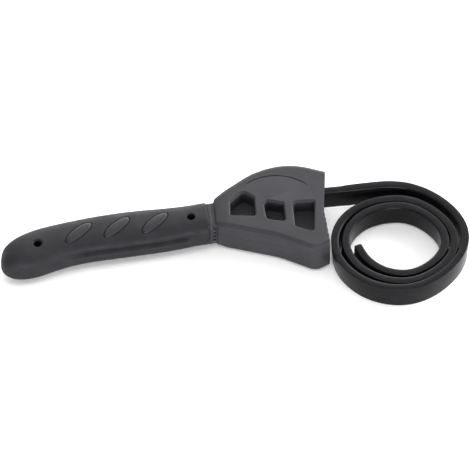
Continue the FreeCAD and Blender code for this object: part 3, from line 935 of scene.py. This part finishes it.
class WRENCH_OT_handle(bpy.types.Operator):
    """Finishes the stiff moulding: rounded edges, a fuller head, a parting line and a ribbed collar"""

    bl_idname = "wrench.handle"
    bl_label = "Handle Moulding"

    def execute(self, context):
        settings = context.scene.wrench_handle
        handle = merged_copy("handle_core", "handle_moulding")
        self.round_edges(handle, settings)
        self.fill_out_head(handle)
        self.press_rim(handle, settings)
        self.raise_parting_line(handle, settings)
        boolean(handle, model_collar(), "UNION")
        self.add_collar_ribs(handle, settings)
        self.keep_flats_flat(handle, settings)
        finish_piece(handle, "wrench", "handle_plastic", handle_plastic(), "handle_core")
        return {"FINISHED"}

    def round_edges(self, handle, settings):
        """Rounds every sharp edge, but not those of the fine groove on the two faces."""
        edit(handle, "DESELECT")
        bpy.ops.mesh.select_mode(type="EDGE")
        bpy.ops.mesh.edges_select_sharp(sharpness=math.radians(32))
        end_edit()
        points = handle.data.vertices
        for sharp in handle.data.edges:
            middle = (points[sharp.vertices[0]].co + points[sharp.vertices[1]].co) / 2
            on_face = abs(middle.z - MID_HEIGHT) > FACE_REACH
            if on_face and middle.y > ARC_GROOVE_START_Y and middle.x < ARC_GROOVE_END_X:
                sharp.select = False
        bpy.ops.object.mode_set(mode="EDIT")
        bpy.ops.mesh.bevel(offset=settings.edge_bevel, segments=2, affect="EDGES", clamp_overlap=False)
        end_edit()

    def fill_out_head(self, handle):
        """Moves the head's far edge and its jaw a little outwards."""
        moves = {}
        for vertex in handle.data.vertices:
            x, y, _ = vertex.co
            if x < HEAD_START:
                continue
            beyond, inwards = Vector((x, 0.1, BELOW_SLOTS)), Vector((0.0, -1.0, 0.0))
            hit, place, _, _ = handle.ray_cast(beyond, inwards)
            share = 1.0 - ease((place.y - y) / FAR_EDGE_BAND) if hit else 1.0
            left = 1.0 - ease((x - HEAD_START) / FAR_EDGE_TAPER)
            jaw = ease((x - JAW_BAND[0]) / (JAW_BAND[1] - JAW_BAND[0]))
            out = share * (FAR_EDGE_MOVE + left * (FAR_CORNER_MOVE - FAR_EDGE_MOVE))
            moves[vertex.index] = Vector((JAW_MOVE * jaw, out, 0.0))
        for index, move in moves.items():
            handle.data.vertices[index].co += move

    def press_rim(self, handle, settings):
        """A shallow hollow along the rounding of the head's near edge, on both faces."""
        normals = [vertex.normal.copy() for vertex in handle.data.vertices]
        for vertex, normal in zip(handle.data.vertices, normals):
            on_rim = abs(vertex.co.z - MID_HEIGHT) > MID_HEIGHT - settings.rim_round
            on_head = vertex.co.x > HEAD_START
            on_slope = normal.y < RIM_NEAR_SIDE and RIM_SLOPE[0] < abs(normal.z) < RIM_SLOPE[1]
            if on_rim and on_head and on_slope:
                vertex.co -= normal * RIM_HOLLOW

    def keep_flats_flat(self, handle, settings):
        """Smooth shading that stays off the flat sides and doesn't spread down the walls."""
        # The walls' shading stops just past the rims' rounding.
        past_rim = settings.rim_round * 1.08
        cut_levels(handle, (past_rim, 2 * MID_HEIGHT - past_rim))
        smooth(handle, 28.0)
        edit(handle, "DESELECT")
        select_faces(handle, lambda face: abs(face.normal.z) > 0.9995)
        bpy.ops.mesh.faces_shade_flat()
        end_edit()

    def raise_parting_line(self, handle, settings):
        """A fine raised line round the outside of the head, halfway up."""
        half = settings.parting_width / 2
        cut_levels(handle, (MID_HEIGHT - half, MID_HEIGHT + half))

        def on_line(face):
            centre = face.calc_center_median()
            halfway_up = abs(centre.z - MID_HEIGHT) < half * 0.9 and abs(face.normal.z) < 0.3
            in_jaw = centre.x > JAW_START and JAW_SIDES[0] < centre.y < JAW_SIDES[1]
            return halfway_up and centre.x > PARTING_START and not in_jaw

        select_faces(handle, on_line)
        bpy.ops.mesh.extrude_region_shrink_fatten(
            TRANSFORM_OT_shrink_fatten={"value": settings.parting_height}
        )
        end_edit()

    def add_collar_ribs(self, handle, settings):
        """Small rounded ribs one above the other on the near side of the collar."""
        lowest = MID_HEIGHT - settings.rib_pitch * (settings.rib_count - 1) / 2
        ribs = []
        for number in range(settings.rib_count):
            place = (*RIB_PLACE, lowest + number * settings.rib_pitch)
            bpy.ops.mesh.primitive_uv_sphere_add(segments=24, ring_count=12, radius=1.0, location=place)
            rib = bpy.context.object
            bpy.ops.transform.resize(value=RIB_HALF_SIZE)
            place_in_mesh(rib)
            ribs.append(rib)
        activate(handle)
        for rib in ribs:
            rib.select_set(True)
        bpy.ops.object.join()


# ---------------------------------------- grip and ovals


def model_grip_body(settings):
    """A rounded section, drawn out from the neck to the butt and smoothed."""
    sections = [in_metres(*section) for section in GRIP_SECTIONS]
    grip = upright_ring("grip_rubber_sleeve", settings.corner_share, sections[0])
    for last, section in zip(sections, sections[1:]):
        x, y, width, height, turn = section
        middle = (x, y, MID_HEIGHT)
        extrude((x - last[0], y - last[1], 0.0))
        bpy.ops.transform.resize(value=(1.0, width / last[2], height / last[3]), center_override=middle)
        if turn != last[4]:
            bpy.ops.transform.rotate(value=last[4] - turn, orient_axis="Z", center_override=middle)
    face_outwards()
    apply_modifier(grip, "SUBSURF", levels=3, render_levels=3)
    press_side_groove(grip)
    return grip


def press_side_groove(grip):
    """A shallow soft groove along both sides of the sleeve, a little above its middle."""
    levels = [
        SIDE_GROOVE_HEIGHT + SIDE_GROOVE_HALF_WIDTH * (2 * loop / SIDE_GROOVE_LOOPS - 1)
        for loop in range(SIDE_GROOVE_LOOPS + 1)
    ]
    cut_levels(grip, levels)
    end_edit()
    normals = [vertex.normal.copy() for vertex in grip.data.vertices]
    start, full = SIDE_GROOVE_START
    leave, end = SIDE_GROOVE_END
    for vertex, normal in zip(grip.data.vertices, normals):
        aside = abs(vertex.co.z - SIDE_GROOVE_HEIGHT) / SIDE_GROOVE_HALF_WIDTH
        along = ease((vertex.co.x - start) / (full - start)) * ease((end - vertex.co.x) / (end - leave))
        vertex.co -= normal * (SIDE_GROOVE_DEPTH * ease(1.0 - aside) * along)


def oval_cylinder(settings, centre, gap, low, high):
    """An upright oval cylinder, wider by the gap, between two heights."""
    place = (centre.x, centre.y, (low + high) / 2)
    bpy.ops.mesh.primitive_cylinder_add(vertices=96, radius=1.0, depth=high - low, location=place)
    oval = bpy.context.object
    oval.scale = (settings.oval_length / 2 + gap, settings.oval_width / 2 + gap, 1.0)
    oval.rotation_euler.z = settings.oval_angle
    place_in_mesh(oval)
    return oval


def model_oval(settings, name, centre, grip):
    """A thin oval that follows the grip's crown, a little proud of it and rounded at its rim."""
    middle = (centre.x, centre.y, DRAWING_HEIGHT)
    bpy.ops.mesh.primitive_circle_add(vertices=96, radius=1.0, fill_type="NGON", location=middle)
    oval = bpy.context.object
    oval.name = name
    oval.scale = (settings.oval_length / 2, settings.oval_width / 2, 1.0)
    oval.rotation_euler.z = settings.oval_angle
    place_in_mesh(oval)
    edit(oval)
    rings = [ring for ring, _ in OVAL_RINGS]
    for last, ring in zip(rings, rings[1:]):
        bpy.ops.mesh.extrude_region_move()
        bpy.ops.transform.resize(value=(ring / last, ring / last, 1.0), center_override=middle)
    bpy.ops.mesh.poke()
    end_edit()
    apply_modifier(
        oval, "SHRINKWRAP", target=grip, wrap_method="PROJECT", use_project_z=True,
        use_positive_direction=False, use_negative_direction=True,
    )
    turn = settings.oval_angle
    for vertex in oval.data.vertices:
        across = vertex.co - Vector((centre.x, centre.y, 0.0))
        long_share = (across.x * math.cos(turn) + across.y * math.sin(turn)) / (settings.oval_length / 2)
        short_share = (across.y * math.cos(turn) - across.x * math.sin(turn)) / (settings.oval_width / 2)
        share = math.hypot(long_share, short_share)
        _, rise = min(OVAL_RINGS, key=lambda ring: abs(ring[0] - share))
        vertex.co.z += rise * MM
    apply_modifier(oval, "SOLIDIFY", thickness=OVAL_THICKNESS, offset=-1.0)
    edit(oval)
    face_outwards()
    smooth(oval, 40.0)
    return oval


def flared_hole_cutter(radius, centre):
    """A round bar that widens where it leaves the grip's two faces."""
    bpy.ops.mesh.primitive_cylinder_add(
        vertices=48, radius=radius, depth=2 * HOLE_REACH, location=(centre.x, centre.y, MID_HEIGHT)
    )
    cutter = bpy.context.object
    place_in_mesh(cutter)
    for side in (1, -1):
        edit(cutter, "DESELECT")
        select_faces(cutter, lambda face: face.normal.z * side > 0.9)
        for rise, widen in ((FLARE_DEPTH, FLARE_WIDENING), (4 * FLARE_DEPTH, 1.0)):
            extrude((0.0, 0.0, side * rise))
            bpy.ops.transform.resize(value=(widen, widen, 1.0), center_override=(centre.x, centre.y, 0.0))
    end_edit()
    return cutter


class WRENCH_OT_grip(bpy.types.Operator):
    """Models the rubber sleeve with its hanging holes, and the ovals in seats on both sides"""

    bl_idname = "wrench.grip"
    bl_label = "Grip and Ovals"

    def execute(self, context):
        settings = context.scene.wrench_grip
        rubber = grip_rubber()
        plastic = inlay_plastic()
        grip = model_grip_body(settings)
        cutters = []
        for number in (1, 2, 3):
            low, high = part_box(f"grip_inlay_upper_{number}")
            centre = (low + high) / 2 + OVAL_SHIFT
            upper = model_oval(settings, f"oval_upper_{number}", centre, grip)
            lower = self.turned_over(upper, f"oval_lower_{number}")
            finish_piece(upper, "wrench", "inlay_plastic", plastic, f"grip_inlay_upper_{number}")
            finish_piece(lower, "wrench", "inlay_plastic", plastic, f"grip_inlay_lower_{number}")
            for side in (1, -1):
                ends = sorted(MID_HEIGHT + side * reach for reach in SEAT_REACH)
                cutters.append(oval_cylinder(settings, centre, settings.oval_gap, *ends))
        for mount in frame["record"]["mounts"]:
            if mount["kind"] == "bore":
                cutters.append(flared_hole_cutter(settings.hole_radius, Vector(mount["pos_m"])))
        for cutter in cutters:
            boolean(grip, cutter, "DIFFERENCE")
        smooth(grip, 32.0)
        finish_piece(grip, "wrench", "grip_rubber", rubber, "grip_sleeve")
        return {"FINISHED"}

    def turned_over(self, oval, name):
        """A copy of the oval on the other side of the middle plane."""
        copy = new_piece(name, oval.data.copy())
        edit(copy)
        bpy.ops.transform.resize(value=(1.0, 1.0, -1.0), center_override=(0.0, 0.0, MID_HEIGHT))
        face_outwards()
        smooth(copy, 40.0)
        return copy


# ---------------------------------------- pin


class WRENCH_OT_pin(bpy.types.Operator):
    """Gives the strap's pin its turned steel"""

    bl_idname = "wrench.pin"
    bl_label = "Pin"

    def execute(self, context):
        pin = frame["nodes"]["anchor_pin"]
        pin.data.materials.clear()
        pin.data.materials.append(pin_steel())
        return {"FINISHED"}


# ---------------------------------------- panel and run


class WRENCH_PT_panel(bpy.types.Panel):
    """Lists the wrench's pieces"""

    bl_label = "Strap Wrench"
    bl_idname = "WRENCH_PT_panel"
    bl_space_type = "VIEW_3D"
    bl_region_type = "UI"
    bl_category = "Strap Wrench"

    def draw(self, context):
        for operator in OPERATORS:
            self.layout.operator(operator.bl_idname)


SETTINGS = {
    "wrench_studio": StudioSettings,
    "wrench_strap": StrapSettings,
    "wrench_handle": HandleSettings,
    "wrench_grip": GripSettings,
    "wrench_colours": ColourSettings,
}
OPERATORS = [WRENCH_OT_studio, WRENCH_OT_strap, WRENCH_OT_handle, WRENCH_OT_grip, WRENCH_OT_pin]


def register():
    """Adds the settings, the operators and the panel."""
    for name, group in SETTINGS.items():
        bpy.utils.register_class(group)
        setattr(bpy.types.Scene, name, PointerProperty(type=group))
    for item in (*OPERATORS, WRENCH_PT_panel):
        bpy.utils.register_class(item)


def unregister():
    """Takes them away again."""
    for item in (WRENCH_PT_panel, *reversed(OPERATORS)):
        bpy.utils.unregister_class(item)
    for name, group in SETTINGS.items():
        delattr(bpy.types.Scene, name)
        bpy.utils.unregister_class(group)


def main():
    """Builds every piece in order."""
    register()
    deselect()
    bpy.ops.wrench.studio()
    bpy.ops.wrench.strap()
    bpy.ops.wrench.handle()
    bpy.ops.wrench.grip()
    bpy.ops.wrench.pin()
    deselect()


if __name__ == "__main__":
    main()
